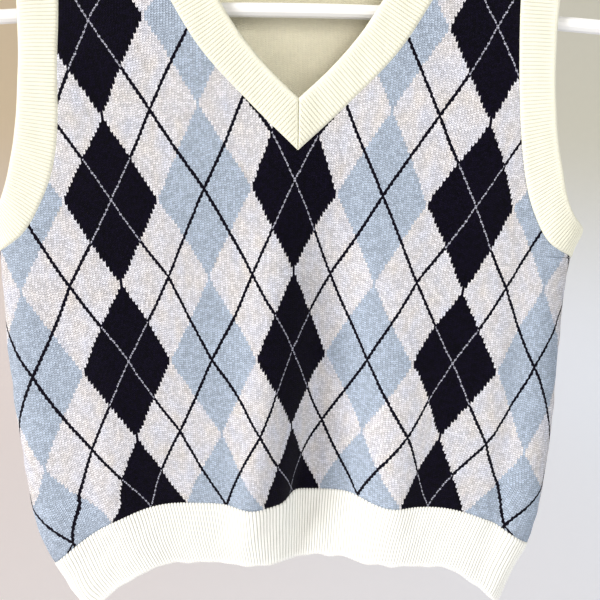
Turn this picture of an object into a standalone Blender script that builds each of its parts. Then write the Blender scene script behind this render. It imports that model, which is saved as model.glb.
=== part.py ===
"""Knitted V-neck sweater vest on a tubular hanger. Metres, +Z up, the front faces -Y, and left and
right are those of someone facing it. The origin is under the crown of the hanger's hook."""
import math

import bpy
from mathutils import Vector

for old in list(bpy.data.objects):
    bpy.data.objects.remove(old)

# ---------------------------------------------------------------- named sizes
PANEL_WALL = 0.0020      # stockinette panels
RIB_WALL = 0.0030        # 1x1 rib bands and hems
SEAM_GAP = 0.0003        # between neighbouring pieces
TUBE_R = 0.0050          # hanger tube
ARM_APEX = -0.0750       # height where the arms' centrelines meet
ARM_FALL = math.tan(math.radians(14.0))
ARM_REACH = 0.2225       # where each arm turns down into the bar
END_R = 0.0140           # turn at the arm's end, to the tube's centre
BAR_DROP = 0.0080        # the bar's ends hang this far below its middle
HOOK_ROD_R = 0.0035
HOOK_R = 0.0255          # hook, to the rod's centre
HOOK_MIDDLE = -0.0220
HOOK_TURN_IN = math.radians(65.0)
HOOK_TIP = math.radians(205.0)
DRAPE = 0.0072           # cloth's middle surface from the arm's centre
ROUND = 0.0300           # width over which the front rounds away to the side
SEAM_MIDDLE = -0.5270    # height of the hem seam at the centre
RIB_FOOT = -0.5800       # height of the rib's lower edge at the centre
V_SEAM = -0.2492         # foot of the V, where the neckband is linked on
V_EDGE = -0.2130         # foot of the V, free edge of the neckband
NECK_SHOULDER_SEAM = 0.1150
NECK_SHOULDER_EDGE = 0.0885
BACK_NECK_SEAM = -0.1235
BACK_NECK_EDGE = -0.0975

# outline of the hanging body: the side folds, and how far front and back stand from the middle
OUTLINE = [
    dict(z=-0.090, left=0.2320, right=0.2260, front=0.0075, back=0.0075),
    dict(z=-0.160, left=0.2320, right=0.2220, front=0.0125, back=0.0115),
    dict(z=-0.220, left=0.2320, right=0.2190, front=0.0170, back=0.0150),
    dict(z=-0.303, left=0.2315, right=0.2185, front=0.0200, back=0.0185),
    dict(z=-0.322, left=0.2295, right=0.2125, front=0.0205, back=0.0190),
    dict(z=-0.345, left=0.2285, right=0.2095, front=0.0210, back=0.0200),
    dict(z=-0.400, left=0.2285, right=0.2095, front=0.0215, back=0.0215),
    dict(z=-0.450, left=0.2262, right=0.2102, front=0.0225, back=0.0235),
    dict(z=-0.488, left=0.2228, right=0.2092, front=0.0232, back=0.0245),
    dict(z=-0.520, left=0.2202, right=0.2075, front=0.0238, back=0.0250),
    dict(z=-0.543, left=0.2178, right=0.2045, front=0.0240, back=0.0250),
    dict(z=-0.560, left=0.2145, right=0.2012, front=0.0240, back=0.0250),
    dict(z=-0.580, left=0.2080, right=0.1935, front=0.0235, back=0.0245),
    dict(z=-0.600, left=0.1975, right=0.1860, front=0.0230, back=0.0240),
    dict(z=-0.620, left=0.1875, right=0.1800, front=0.0225, back=0.0235),
    dict(z=-0.641, left=0.1724, right=0.1720, front=0.0220, back=0.0230),
]
# how the hem hangs lower toward the sides: from where, and how far at the side fold
HEM_DROP = {
    "left": dict(start=0.085, seam=0.0640, foot=0.0610),
    "right": dict(start=0.110, seam=0.0400, foot=0.0400),
}
# the armhole, from the hanger's arm down to the side fold: linked seam and free edge of the band
ARMHOLE = {
    "left": [
        dict(seam_x=0.1735, seam_z=None, edge_x=0.2030, edge_z=None),
        dict(seam_x=0.1718, seam_z=-0.150, edge_x=0.2018, edge_z=-0.152),
        dict(seam_x=0.1728, seam_z=-0.190, edge_x=0.2010, edge_z=-0.190),
        dict(seam_x=0.1735, seam_z=-0.225, edge_x=0.2032, edge_z=-0.223),
        dict(seam_x=0.1755, seam_z=-0.2485, edge_x=0.2062, edge_z=-0.243),
        dict(seam_x=0.1805, seam_z=-0.270, edge_x=0.2100, edge_z=-0.260),
        dict(seam_x=0.1900, seam_z=-0.292, edge_x=0.2155, edge_z=-0.2775),
        dict(seam_x=0.2040, seam_z=-0.3135, edge_x=0.2230, edge_z=-0.2925),
        dict(seam_x=0.2291, seam_z=-0.330, edge_x=0.2315, edge_z=-0.303),
    ],
    "right": [
        dict(seam_x=0.1590, seam_z=None, edge_x=0.1865, edge_z=None),
        dict(seam_x=0.1563, seam_z=-0.147, edge_x=0.1840, edge_z=-0.148),
        dict(seam_x=0.1570, seam_z=-0.186, edge_x=0.1832, edge_z=-0.186),
        dict(seam_x=0.1597, seam_z=-0.221, edge_x=0.1855, edge_z=-0.218),
        dict(seam_x=0.1640, seam_z=-0.252, edge_x=0.1895, edge_z=-0.243),
        dict(seam_x=0.1690, seam_z=-0.2745, edge_x=0.1940, edge_z=-0.261),
        dict(seam_x=0.1765, seam_z=-0.294, edge_x=0.1985, edge_z=-0.277),
        dict(seam_x=0.1880, seam_z=-0.3125, edge_x=0.2060, edge_z=-0.292),
        dict(seam_x=0.2116, seam_z=-0.326, edge_x=0.2185, edge_z=-0.303),
    ],
}
# the V, from its foot up to the hanger's arm, half-widths at the linked seam and at the free edge
V_NECK = [
    dict(up=0.00, seam_x=0.0000, seam_z=V_SEAM, edge_x=0.0000, edge_z=V_EDGE),
    dict(up=0.25, seam_x=0.0370, seam_z=-0.2145, edge_x=0.0225, edge_z=-0.1920),
    dict(up=0.50, seam_x=0.0705, seam_z=-0.1795, edge_x=0.0425, edge_z=-0.1690),
    dict(up=0.70, seam_x=0.0905, seam_z=-0.1490, edge_x=0.0590, edge_z=-0.1440),
    dict(up=0.87, seam_x=0.1050, seam_z=-0.1230, edge_x=0.0740, edge_z=-0.1170),
    dict(up=1.00, seam_x=NECK_SHOULDER_SEAM, seam_z=None, edge_x=NECK_SHOULDER_EDGE, edge_z=None),
]
# largest folds: where each crest or trough runs and how deep it is, at four heights
V_LEVEL, WAIST_LEVEL = -0.2495, -0.4160
FRONT_FOLDS = [
    dict(kind="valley", depth=(-0.004, -0.020, -0.027, -0.012),
         rise=(0.012, 0.009, -0.004, -0.002), rise_w=(0.014, 0.012, 0.005, 0.008),
         fall=(0.050, 0.054, 0.057, 0.052), fall_w=(0.016, 0.015, 0.012, 0.014)),
    dict(kind="ridge", depth=(0.002, 0.009, 0.012, 0.005),
         at=(-0.010, -0.022, -0.032, -0.030), width=(0.016, 0.018, 0.016, 0.018)),
    dict(kind="ridge", depth=(0.000, 0.003, 0.006, 0.003),
         at=(0.075, 0.078, 0.081, 0.085), width=(0.018, 0.018, 0.014, 0.018)),
    dict(kind="ridge", depth=(0.000, -0.003, -0.004, -0.002),
         at=(0.168, 0.170, 0.168, 0.160), width=(0.010, 0.010, 0.010, 0.010)),
    dict(kind="ridge", depth=(0.000, 0.002, 0.004, 0.003),
         at=(-0.150, -0.145, -0.140, -0.125), width=(0.022, 0.022, 0.020, 0.020)),
]
BACK_FOLDS = [
    dict(kind="ridge", depth=(0.000, 0.004, 0.007, 0.004),
         at=(-0.095, -0.100, -0.105, -0.100), width=(0.026, 0.026, 0.024, 0.026)),
    dict(kind="ridge", depth=(0.001, -0.003, -0.006, -0.003),
         at=(-0.040, -0.045, -0.048, -0.045), width=(0.024, 0.022, 0.020, 0.024)),
    dict(kind="ridge", depth=(0.001, 0.004, 0.008, 0.004),
         at=(0.035, 0.040, 0.046, 0.044), width=(0.030, 0.028, 0.024, 0.028)),
    dict(kind="ridge", depth=(0.000, -0.002, -0.004, -0.002),
         at=(0.115, 0.112, 0.110, 0.105), width=(0.020, 0.020, 0.018, 0.020)),
]
# how finely each piece is divided
COLUMNS = {   # shares of the way from the centre line to the side fold, closest at folds and sides
    "front": (0.0, 0.02, 0.055, 0.10, 0.155, 0.21, 0.26, 0.31, 0.37, 0.45, 0.54, 0.63, 0.72,
              0.80, 0.87, 0.93, 0.97, 1.0),
    "back": (0.0, 0.08, 0.16, 0.24, 0.32, 0.41, 0.50, 0.60, 0.70, 0.79, 0.87, 0.93, 0.97, 1.0),
}
FRONT_ROWS = dict(to_armpit=10, to_neck=5, to_arm=8, crowd=1.7)
BACK_ROWS = dict(to_armpit=9, to_neck=10, to_arm=4, crowd=1.5)
OVER_ARM = (60.0, 30.0, 0.0)
BAND_STRIPS = 2
RIB_ROWS = 4


# ---------------------------------------------------------------- small tools
def smooth(t):
    t = min(1.0, max(0.0, t))
    return t * t * (3.0 - 2.0 * t)


def soft_step(t):
    return 0.5 * (1.0 + math.tanh(t))


def curve(xs, ys, x):
    """A smooth curve through the points that never overshoots them."""
    if xs[0] > xs[-1]:
        xs = xs[::-1]
        ys = ys[::-1]
    if x <= xs[0]:
        return ys[0]
    if x >= xs[-1]:
        return ys[-1]
    i = max(k for k in range(len(xs) - 1) if xs[k] <= x)
    slopes = [(ys[k + 1] - ys[k]) / (xs[k + 1] - xs[k]) for k in range(len(xs) - 1)]

    def lean(k):
        if k == 0:
            return slopes[0]
        if k == len(xs) - 1:
            return slopes[-1]
        a, b = slopes[k - 1], slopes[k]
        return 0.0 if a * b <= 0.0 else 2.0 * a * b / (a + b)

    h = xs[i + 1] - xs[i]
    t = (x - xs[i]) / h
    return (
        (2 * t**3 - 3 * t**2 + 1) * ys[i]
        + (t**3 - 2 * t**2 + t) * h * lean(i)
        + (3 * t**2 - 2 * t**3) * ys[i + 1]
        + (t**3 - t**2) * h * lean(i + 1)
    )


def read(rows, key, column, x):
    return curve([r[key] for r in rows], [r[column] for r in rows], x)


def side_of(x):
    return "left" if x < 0.0 else "right"


def sign_of(side):
    return -1.0 if side == "left" else 1.0


def arm_height(x):
    return ARM_APEX - abs(x) * ARM_FALL


def hem_height(x, level):
    """Height of the hem seam ("seam") or of the rib's lower edge ("foot") at x."""
    drop = HEM_DROP[side_of(x)]
    middle = SEAM_MIDDLE if level == "seam" else RIB_FOOT
    reach = 0.199 if level == "seam" else 0.174
    past = max(0.0, abs(x) - drop["start"]) / (reach - drop["start"])
    return middle - drop[level] * min(1.1, past) ** 2


def corner_height(side, level):
    """Where the hem meets the side fold."""
    z = -0.57
    for _ in range(40):
        z = 0.5 * z + 0.5 * hem_height(sign_of(side) * read(OUTLINE, "z", side, z), level)
    return z


# ---------------------------------------------------------------- the hanging form
def at_height(values, z):
    """A fold's value at height z, from its values at the V, waist, hem seam and rib foot."""
    v, waist, seam, foot = values
    if z < SEAM_MIDDLE:
        return seam + (foot - seam) * smooth((SEAM_MIDDLE - z) / (SEAM_MIDDLE - RIB_FOOT))
    if z < WAIST_LEVEL:
        return waist + (seam - waist) * (WAIST_LEVEL - z) / (WAIST_LEVEL - SEAM_MIDDLE)
    return v + (waist - v) * smooth((V_LEVEL - z) / (V_LEVEL - WAIST_LEVEL))


def relief(folds, x, z):
    fade = smooth((V_LEVEL + 0.06 - z) / 0.06)
    total = 0.0
    for fold in folds:
        depth = at_height(fold["depth"], z)
        if fold["kind"] == "valley":
            into = (x - at_height(fold["rise"], z)) / at_height(fold["rise_w"], z)
            out = (at_height(fold["fall"], z) - x) / at_height(fold["fall_w"], z)
            total += depth * soft_step(into) * soft_step(out)
        else:
            off = (x - at_height(fold["at"], z)) / at_height(fold["width"], z)
            total += depth * math.exp(-off * off)
    return total * fade


def depth_of(face, x, z):
    """Distance of the cloth's middle surface from the middle plane."""
    reach = read(OUTLINE, "z", side_of(x), z)
    past = min(1.0, max(0.0, (abs(x) - (reach - ROUND)) / ROUND))
    rounding = math.sqrt(1.0 - past * past)
    below = arm_height(x) + DRAPE - z
    over = 1.0
    if below < DRAPE:
        over = math.sqrt(max(0.0, 1.0 - (1.0 - max(0.0, below) / DRAPE) ** 2))
    flat = DRAPE + (read(OUTLINE, "z", face, z) - DRAPE) * smooth(below / 0.09)
    folds = FRONT_FOLDS if face == "front" else BACK_FOLDS
    return rounding * (over * flat + relief(folds, x, z))


def cloth_point(face, x, z, closing=False):
    """Point and outward normal. closing marks points on the side fold or on top of the arm."""
    way = -1.0 if face == "front" else 1.0
    if closing:
        top = abs(z - arm_height(x) - DRAPE) < 1e-6
        lean = Vector((sign_of(side_of(x)) * ARM_FALL, 0.0, 1.0))
        across = Vector((sign_of(side_of(x)), 0.0, 0.0))
        return Vector((x, 0.0, z)), (lean if top else across).normalized()
    h = 0.0004
    inner = x - sign_of(side_of(x)) * h
    here = depth_of(face, x, z)
    slope_x = (here - depth_of(face, inner, z)) / (x - inner)
    slope_z = (here - depth_of(face, x, z - h)) / h
    normal = Vector((-slope_x, way, -slope_z)).normalized()
    return Vector((x, way * here, z)), normal


def unrolled(side, x, z):
    """Distance round the cloth from the centre line, counting the rounded side."""
    reach = read(OUTLINE, "z", side, z)
    past = (abs(x) - (reach - ROUND)) / ROUND
    if past <= 0.0:
        return abs(x)
    deep = read(OUTLINE, "z", "front", z)
    turn = 0.5 * math.pi * math.sqrt((ROUND**2 + deep**2) / 2.0)
    return reach - ROUND + turn * math.asin(min(1.0, past)) / (0.5 * math.pi)


def rolled(side, p, z):
    reach = read(OUTLINE, "z", side, z)
    if p <= reach - ROUND:
        return sign_of(side) * p
    deep = read(OUTLINE, "z", "front", z)
    turn = 0.5 * math.pi * math.sqrt((ROUND**2 + deep**2) / 2.0)
    angle = min(0.5 * math.pi, (p - (reach - ROUND)) / turn * 0.5 * math.pi)
    return sign_of(side) * (reach - ROUND + ROUND * math.sin(angle))


# ---------------------------------------------------------------- seam lines
def armhole_line(side, share, line):
    """Point of the armhole's seam or free edge, share 0 at the arm and 1 at the side fold."""
    rows = ARMHOLE[side]
    at = [float(k) for k in range(len(rows))]
    xs = [r[line + "_x"] for r in rows]
    zs = [arm_height(xs[0]) if r[line + "_z"] is None else r[line + "_z"] for r in rows]
    x = sign_of(side) * curve(at, xs, share * at[-1])
    z = curve(at, zs, share * at[-1])
    return (x, z)


def v_line(side, up, line):
    at = [r["up"] for r in V_NECK]
    xs = [r[line + "_x"] for r in V_NECK]
    zs = [arm_height(xs[-1]) if r[line + "_z"] is None else r[line + "_z"] for r in V_NECK]
    return (sign_of(side) * curve(at, xs, up), curve(at, zs, up))


def back_neck_line(side, up, line):
    """The shallow back neck, from the centre up to the hanger's arm."""
    end = NECK_SHOULDER_SEAM if line == "seam" else NECK_SHOULDER_EDGE
    low = BACK_NECK_SEAM if line == "seam" else BACK_NECK_EDGE
    high = arm_height(end)
    x = end * math.sin(up * 0.5 * math.pi) ** 0.9
    z = low + (high - low) * (x / end) ** 3.0
    return (sign_of(side) * x, z)


def over_arm(x, degrees):
    return (x, arm_height(x) + DRAPE * math.cos(math.radians(degrees)))


def spaced(n, crowd=1.0):
    """Shares up to 1, closer together at the start where crowd is over 1."""
    return [(k / n) ** crowd for k in range(1, n + 1)]


def row_ends(face, side):
    """Inner and outer end of each row of half a panel, from the hem seam up over the arm.
    The same stations serve the bands, so that both sides of a seam share them."""
    rows = FRONT_ROWS if face == "front" else BACK_ROWS
    corner = corner_height(side, "seam")
    pit_x, pit_z = armhole_line(side, 1.0, "seam")
    neck_z = V_SEAM if face == "front" else BACK_NECK_SEAM
    pit_inner = -0.3150
    inner = [(0.0, SEAM_MIDDLE)]
    outer = [(sign_of(side) * read(OUTLINE, "z", side, corner), corner)]
    kind = ["fold"]
    for t in spaced(rows["to_armpit"]):
        z = corner + (pit_z - corner) * t
        inner.append((0.0, SEAM_MIDDLE + (pit_inner - SEAM_MIDDLE) * t))
        outer.append((sign_of(side) * read(OUTLINE, "z", side, z), z))
        kind.append("fold")
    upper = rows["to_neck"] + rows["to_arm"]
    neck_share = 0.36 if face == "front" else 0.80
    for t in spaced(rows["to_neck"], rows["crowd"]):
        inner.append((0.0, pit_inner + (neck_z - pit_inner) * t))
        outer.append(armhole_line(side, 1.0 - neck_share * t, "seam"))
        kind.append("neck" if t == 1.0 else "open")
    for t in spaced(rows["to_arm"]):
        line = v_line if face == "front" else back_neck_line
        inner.append(line(side, t, "seam"))
        outer.append(armhole_line(side, (1.0 - neck_share) * (1.0 - t), "seam"))
        kind.append("neck")
    for degrees in OVER_ARM:
        inner.append(over_arm(inner[-1][0], degrees))
        outer.append(over_arm(outer[-1][0], degrees))
        kind.append("top" if degrees == 0.0 else "neck")
    return inner, outer, kind, rows["to_armpit"] + upper


# ---------------------------------------------------------------- shells
class Sheet:
    """Points with normals and quads, made into one closed wall."""

    def __init__(self):
        self.points = []
        self.normals = []
        self.quads = []
        self.index = {}

    def add(self, point, normal):
        key = (round(point.x, 6), round(point.y, 6), round(point.z, 6))
        if key not in self.index:
            self.index[key] = len(self.points)
            self.points.append(point)
            self.normals.append(normal)
        return self.index[key]

    def quad(self, a, b, c, d):
        corners = []
        for k in (a, b, c, d):
            if k not in corners:
                corners.append(k)
        if len(corners) < 3:
            return
        if len(corners) == 4:
            p, q, r, t = [self.points[k] for k in corners]
            short = (0, 1, 2, 3) if (p - r).length < (q - t).length else (1, 2, 3, 0)
            i, j, k, m = [corners[n] for n in short]
            self.triangle(i, j, k)
            self.triangle(i, k, m)
        else:
            self.triangle(*corners)

    def triangle(self, *corners):
        corners = list(corners)
        way = (self.points[corners[1]] - self.points[corners[0]]).cross(
            self.points[corners[2]] - self.points[corners[0]]
        )
        lean = self.normals[corners[0]] + self.normals[corners[1]] + self.normals[corners[2]]
        self.quads.append(corners if way.dot(lean) > 0.0 else corners[::-1])

    def rim(self):
        edges = {}
        for face in self.quads:
            for k in range(len(face)):
                a, b = face[k], face[(k + 1) % len(face)]
                if (b, a) in edges:
                    del edges[(b, a)]
                else:
                    edges[(a, b)] = True
        return list(edges)

    def pull_in(self, amount):
        """Moves the rim's points into the sheet, so that neighbours stand a gap apart."""
        rim = self.rim()
        pull = {}
        for a, b in rim:
            along = self.points[b] - self.points[a]
            for k in (a, b):
                inward = self.normals[k].cross(along).normalized()
                pull.setdefault(k, []).append(inward)
        for k, ways in pull.items():
            total = Vector((0.0, 0.0, 0.0))
            for way in ways:
                total += way
            total.normalize()
            share = max(0.5, total.dot(ways[0]))
            self.points[k] = self.points[k] + total * (amount / share)

    def build(self, name, wall, material):
        rim = self.rim()
        n = len(self.points)
        half = 0.5 * wall
        verts = [p + m * half for p, m in zip(self.points, self.normals)]
        verts += [p - m * half for p, m in zip(self.points, self.normals)]
        faces = [list(f) for f in self.quads]
        faces += [[k + n for k in reversed(f)] for f in self.quads]
        for a, b in rim:
            if (verts[a].z, verts[a].x) < (verts[b].z, verts[b].x):
                faces += [[b, a, b + n], [a, a + n, b + n]]
            else:
                faces += [[b, a, a + n], [b, a + n, b + n]]
        return solid(name, verts, faces, material)


def solid(name, verts, faces, material):
    mesh = bpy.data.meshes.new(name)
    mesh.from_pydata([tuple(v) for v in verts], [], faces)
    mesh.validate()
    mesh.update()
    mesh.materials.append(material)
    for polygon in mesh.polygons:
        polygon.use_smooth = True
    made = bpy.data.objects.new(name, mesh)
    bpy.context.scene.collection.objects.link(made)
    return made


def material(name, colour, roughness):
    made = bpy.data.materials.new(name)
    made.use_nodes = True
    shader = made.node_tree.nodes["Principled BSDF"]
    shader.inputs["Base Color"].default_value = (*colour, 1.0)
    shader.inputs["Roughness"].default_value = roughness
    made.diffuse_color = (*colour, 1.0)
    return made


def panel(name, face, finish):
    sheet = Sheet()
    for side in ("left", "right"):
        inner, outer, kind, _ = row_ends(face, side)
        grid = []
        for j in range(len(inner)):
            (xi, zi), (xo, zo) = inner[j], outer[j]
            po = unrolled(side, xo, zo)
            low = smooth(1.0 - j / FRONT_ROWS["to_armpit"])
            row = []
            for s in COLUMNS[face]:
                p = abs(xi) + (po - abs(xi)) * s
                level = zi + (zo - zi) * s
                for _ in range(24):
                    x = rolled(side, p, level)
                    share = (hem_height(x, "seam") - SEAM_MIDDLE) / (outer[0][1] - SEAM_MIDDLE)
                    sag = low * share + (1.0 - low) * s
                    level = 0.5 * level + 0.5 * (zi + (zo - zi) * sag)
                if kind[j] == "top":
                    x = xi + (xo - xi) * s
                    level = arm_height(x) + DRAPE
                elif j > len(inner) - 1 - len(OVER_ARM):
                    x = xi + (xo - xi) * s
                    turn = OVER_ARM[j - len(inner) + len(OVER_ARM)]
                    level = over_arm(x, turn)[1]
                if s == 1.0:
                    x, level = xo, zo
                closing = kind[j] == "top" or (kind[j] == "fold" and s == 1.0)
                row.append(sheet.add(*cloth_point(face, x, level, closing)))
            grid.append(row)
        for j in range(len(grid) - 1):
            for k in range(len(COLUMNS[face]) - 1):
                sheet.quad(grid[j][k], grid[j][k + 1], grid[j + 1][k + 1], grid[j + 1][k])
    sheet.pull_in(0.5 * SEAM_GAP)
    return sheet.build(name, PANEL_WALL, finish)


def strip(sheet, stations):
    """Joins stations, each a list of point numbers across the band."""
    for a, b in zip(stations, stations[1:]):
        for k in range(len(a) - 1):
            sheet.quad(a[k], a[k + 1], b[k + 1], b[k])


def across(sheet, face, side, seam, edge, closing=False):
    """One section of a band, from its linked seam to its free edge."""
    (xs, zs), (xe, ze) = seam, edge
    ps, pe = unrolled(side, xs, zs), unrolled(side, xe, ze)
    made = []
    for k in range(BAND_STRIPS + 1):
        s = k / BAND_STRIPS
        z = zs + (ze - zs) * s
        x = rolled(side, ps + (pe - ps) * s, z)
        if s == 0.0:
            x = xs
        if s == 1.0 or closing:
            x = xs + (xe - xs) * s if closing else xe
        if closing and abs(zs - arm_height(xs)) > 0.5 * DRAPE + 1e-6 and zs < -0.25:
            x = sign_of(side) * read(OUTLINE, "z", side, z)
        made.append(sheet.add(*cloth_point(face, x, z, closing)))
    return made


def armhole_band(name, side, finish):
    sheet = Sheet()
    for face in ("front", "back"):
        rows = FRONT_ROWS if face == "front" else BACK_ROWS
        neck_share = 0.36 if face == "front" else 0.80
        shares = [1.0] + [1.0 - neck_share * t for t in spaced(rows["to_neck"], rows["crowd"])]
        shares += [(1.0 - neck_share) * (1.0 - t) for t in spaced(rows["to_arm"])]
        stations = []
        for share in shares:
            seam = armhole_line(side, share, "seam")
            edge = armhole_line(side, share, "edge")
            stations.append(across(sheet, face, side, seam, edge, closing=share == 1.0))
        for degrees in OVER_ARM:
            seam = over_arm(armhole_line(side, 0.0, "seam")[0], degrees)
            edge = over_arm(armhole_line(side, 0.0, "edge")[0], degrees)
            stations.append(across(sheet, face, side, seam, edge, closing=degrees == 0.0))
        strip(sheet, stations)
    sheet.pull_in(0.5 * SEAM_GAP)
    return sheet.build(name, RIB_WALL, finish)


def neck_band(name, finish):
    sheet = Sheet()
    for side in ("left", "right"):
        for face, line in (("front", v_line), ("back", back_neck_line)):
            rows = FRONT_ROWS if face == "front" else BACK_ROWS
            stations = []
            for up in [0.0] + spaced(rows["to_arm"]):
                seam, edge = line(side, up, "seam"), line(side, up, "edge")
                stations.append(across(sheet, face, side, seam, edge))
            for degrees in OVER_ARM:
                seam = over_arm(sign_of(side) * NECK_SHOULDER_SEAM, degrees)
                edge = over_arm(sign_of(side) * NECK_SHOULDER_EDGE, degrees)
                stations.append(across(sheet, face, side, seam, edge, closing=degrees == 0.0))
            strip(sheet, stations)
    sheet.pull_in(0.5 * SEAM_GAP)
    return sheet.build(name, RIB_WALL, finish)


def hem_rib(name, face, finish):
    sheet = Sheet()
    for side in ("left", "right"):
        top, foot = corner_height(side, "seam"), corner_height(side, "foot")
        reach = unrolled(side, read(OUTLINE, "z", side, top), top)
        grid = []
        for j in range(RIB_ROWS + 1):
            down = j / RIB_ROWS
            corner = top + (foot - top) * down
            reach = unrolled(side, read(OUTLINE, "z", side, corner), corner)
            row = []
            for s in COLUMNS[face]:
                z = SEAM_MIDDLE
                for _ in range(24):
                    x = rolled(side, reach * s, z)
                    low = hem_height(x, "seam") * (1.0 - down) + hem_height(x, "foot") * down
                    z = 0.5 * z + 0.5 * low
                if s == 1.0:
                    z = corner
                    x = sign_of(side) * read(OUTLINE, "z", side, z)
                row.append(sheet.add(*cloth_point(face, x, z, s == 1.0)))
            grid.append(row)
        for j in range(RIB_ROWS):
            for k in range(len(COLUMNS[face]) - 1):
                sheet.quad(grid[j][k], grid[j][k + 1], grid[j + 1][k + 1], grid[j + 1][k])
    sheet.pull_in(0.5 * SEAM_GAP)
    return sheet.build(name, RIB_WALL, finish)


# ---------------------------------------------------------------- the hanger
def tube(name, path, radius, sides, closed, finish):
    """A round tube along a path in the XZ plane."""
    verts = []
    faces = []
    n = len(path)
    for i, (x, z) in enumerate(path):
        before = path[i - 1] if closed or i > 0 else path[i]
        after = path[(i + 1) % n] if closed or i < n - 1 else path[i]
        along = Vector((after[0] - before[0], 0.0, after[1] - before[1])).normalized()
        out = Vector((along.z, 0.0, -along.x))
        for k in range(sides):
            a = 2.0 * math.pi * k / sides
            verts.append(Vector((x, 0.0, z)) + (out * math.cos(a) + Vector((0, 1, 0)) * math.sin(a)) * radius)
    for i in range(n if closed else n - 1):
        j = (i + 1) % n
        for k in range(sides):
            m = (k + 1) % sides
            faces.append([i * sides + k, i * sides + m, j * sides + m, j * sides + k])
    if not closed:
        faces.append([k for k in reversed(range(sides))])
        faces.append([(n - 1) * sides + k for k in range(sides)])
    return solid(name, verts, faces, finish)


def frame_path():
    """Arms, end turns and bar, once round."""
    half = []
    bend = 0.012
    for k in range(3):
        x = bend * (k + 0.5) / 3.0
        half.append((x, ARM_APEX - ARM_FALL * (x * x + bend * bend) / (2.0 * bend)))
    for k in range(8):
        x = bend + (ARM_REACH - bend) * k / 7.0
        half.append((x, arm_height(x)))
    fall = math.atan(ARM_FALL)
    middle = (ARM_REACH - END_R * math.sin(fall), arm_height(ARM_REACH) - END_R * math.cos(fall))
    for k in range(1, 10):
        a = 0.5 * math.pi - fall - (math.pi - fall - 0.07) * k / 9.0
        half.append((middle[0] + END_R * math.cos(a), middle[1] + END_R * math.sin(a)))
    end_x, end_z = half[-1]
    for k in range(1, 9):
        x = end_x * (1.0 - k / 8.5)
        half.append((x, end_z + BAR_DROP * (1.0 - (x / end_x) ** 2)))
    return half + [(-x, z) for x, z in reversed(half)]


def hook_path():
    """From inside the frame's top up the stem, round the crown and down to the tip."""
    r = HOOK_R * math.cos(HOOK_TURN_IN) / (1.0 - math.cos(HOOK_TURN_IN))
    foot = HOOK_MIDDLE - (HOOK_R + r) * math.sin(HOOK_TURN_IN)
    path = [(0.0, ARM_APEX - 0.0015), (0.0, 0.5 * (ARM_APEX + foot))]
    for k in range(5):
        a = HOOK_TURN_IN * k / 5.0
        path.append((r - r * math.cos(a), foot + r * math.sin(a)))
    for k in range(25):
        a = -HOOK_TURN_IN + (HOOK_TIP + HOOK_TURN_IN) * k / 24.0
        path.append((HOOK_R * math.cos(a), HOOK_MIDDLE + HOOK_R * math.sin(a)))
    return path


def hanger(name, finish):
    frame = tube(name, frame_path(), TUBE_R, 12, True, finish)
    hook = tube("hook_blank", hook_path(), HOOK_ROD_R, 10, False, finish)
    joined = frame.modifiers.new("join", "BOOLEAN")
    joined.operation = "UNION"
    joined.solver = "EXACT"
    joined.object = hook
    bpy.context.view_layer.update()
    whole = bpy.data.meshes.new_from_object(
        frame.evaluated_get(bpy.context.evaluated_depsgraph_get())
    )
    frame.modifiers.clear()
    frame.data = whole
    bpy.data.objects.remove(hook)
    return frame


# ---------------------------------------------------------------- the parts
argyle = material("argyle_knit", (0.45, 0.52, 0.62), 0.95)
cream = material("cream_knit", (0.80, 0.77, 0.62), 0.95)
rib = material("cream_rib", (0.88, 0.87, 0.74), 0.95)
plastic = material("white_plastic", (0.86, 0.86, 0.88), 0.35)

panel("front_panel", "front", argyle)
panel("back_panel", "back", cream)
neck_band("neckband", rib)
armhole_band("armhole_band_left", "left", rib)
armhole_band("armhole_band_right", "right", rib)
hem_rib("hem_rib_front", "front", rib)
hem_rib("hem_rib_back", "back", rib)
hanger("hanger", plastic)
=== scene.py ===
"""Looks of the knitted argyle sweater vest on its hanger: fine cloth with real ribs, seams and folds,
knitted materials, a sweep that glows with painted light, and soft light. Metres, +Z up, the front faces
-Y."""
import math

import bpy
import numpy as np
from mathutils import Matrix, Vector

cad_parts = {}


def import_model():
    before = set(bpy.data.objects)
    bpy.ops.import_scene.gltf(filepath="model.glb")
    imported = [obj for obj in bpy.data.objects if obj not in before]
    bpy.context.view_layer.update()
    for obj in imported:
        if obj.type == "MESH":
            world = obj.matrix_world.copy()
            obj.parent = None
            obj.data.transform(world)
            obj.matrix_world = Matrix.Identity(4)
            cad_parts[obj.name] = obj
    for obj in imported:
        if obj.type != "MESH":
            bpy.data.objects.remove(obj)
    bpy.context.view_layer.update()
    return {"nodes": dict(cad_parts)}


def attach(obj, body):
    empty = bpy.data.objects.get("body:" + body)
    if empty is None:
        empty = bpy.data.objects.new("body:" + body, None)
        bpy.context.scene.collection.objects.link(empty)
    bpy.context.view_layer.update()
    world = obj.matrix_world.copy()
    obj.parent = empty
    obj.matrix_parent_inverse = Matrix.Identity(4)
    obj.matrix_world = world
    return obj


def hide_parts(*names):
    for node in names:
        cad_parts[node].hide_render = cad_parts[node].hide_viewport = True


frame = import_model()
SIDES = ("left", "right")


def table(columns, *rows):
    """Rows of numbers by the names of their columns."""
    return [dict(zip(columns.split(), row)) for row in rows]


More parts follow.
